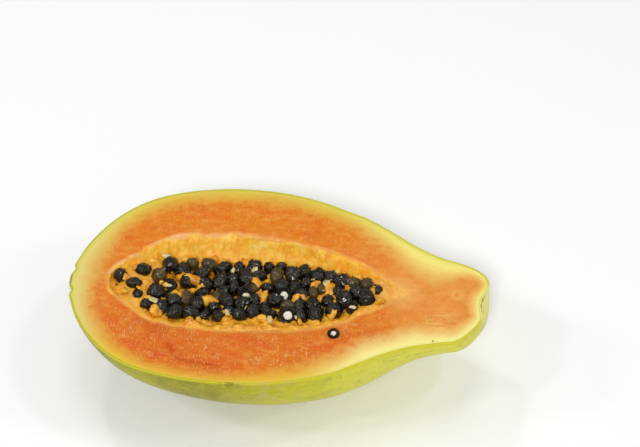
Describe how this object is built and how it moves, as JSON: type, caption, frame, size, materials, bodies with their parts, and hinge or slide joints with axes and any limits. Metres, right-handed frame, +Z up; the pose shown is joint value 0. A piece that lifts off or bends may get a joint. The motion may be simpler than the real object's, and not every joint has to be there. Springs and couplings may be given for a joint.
{
  "type": "papaya half",
  "caption": "Half a ripe papaya cut lengthwise, lying on its rounded back: green skin, orange flesh and an open hollow full of dark seeds in amber pulp.",
  "frame": {"origin": "under the middle of the whole, on the surface that the half rests on", "axes": "+X along the fruit from the blossom end to the stem end, +Y across the cut face, +Z up out of the level cut face"},
  "size_m": [0.1738, 0.1002, 0.0499],
  "materials": {
    "flesh": "moist orange flesh, yellow to green towards the skin",
    "skin": "smooth waxy green skin with a yellow blush and fine dark specks",
    "lining": "soft fibrous amber lining of the seed hollow",
    "pulp": "wet amber pulp between the seeds",
    "seeds": "wrinkled black seeds, wet with jelly",
    "pale_seeds": "small flat pale seeds that did not ripen, and pale seed kernels",
    "scar": "dry brown scar tissue"
  },
  "bodies": {
    "root": {"papaya_half": "flesh", "seed_mass": "seeds"}
  },
  "joints": []
}
